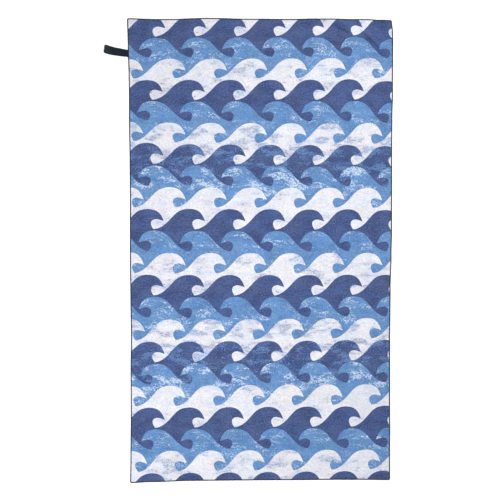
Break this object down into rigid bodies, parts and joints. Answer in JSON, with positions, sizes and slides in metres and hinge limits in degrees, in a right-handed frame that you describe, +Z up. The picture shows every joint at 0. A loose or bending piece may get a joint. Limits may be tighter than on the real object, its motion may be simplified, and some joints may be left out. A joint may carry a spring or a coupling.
{
  "type": "microfibre towel",
  "caption": "Thin printed microfibre beach towel lying flat, with overlocked edges and a folded hanging loop at one long edge.",
  "frame": {"origin": "centre of the towel panel's underside, on the surface it lies on", "axes": "+X across the towel, away from the hanging loop; +Y along the towel, towards the end with the loop; +Z up, out of the printed face"},
  "size_m": [1.0008, 1.607, 0.0086],
  "materials": {
    "printed_microfibre": "matt suede microfibre, printed in three colours",
    "dark_webbing": "matt narrow webbing and thread"
  },
  "bodies": {
    "root": {"towel_cloth": "printed_microfibre", "hang_loop": "dark_webbing"}
  },
  "joints": []
}
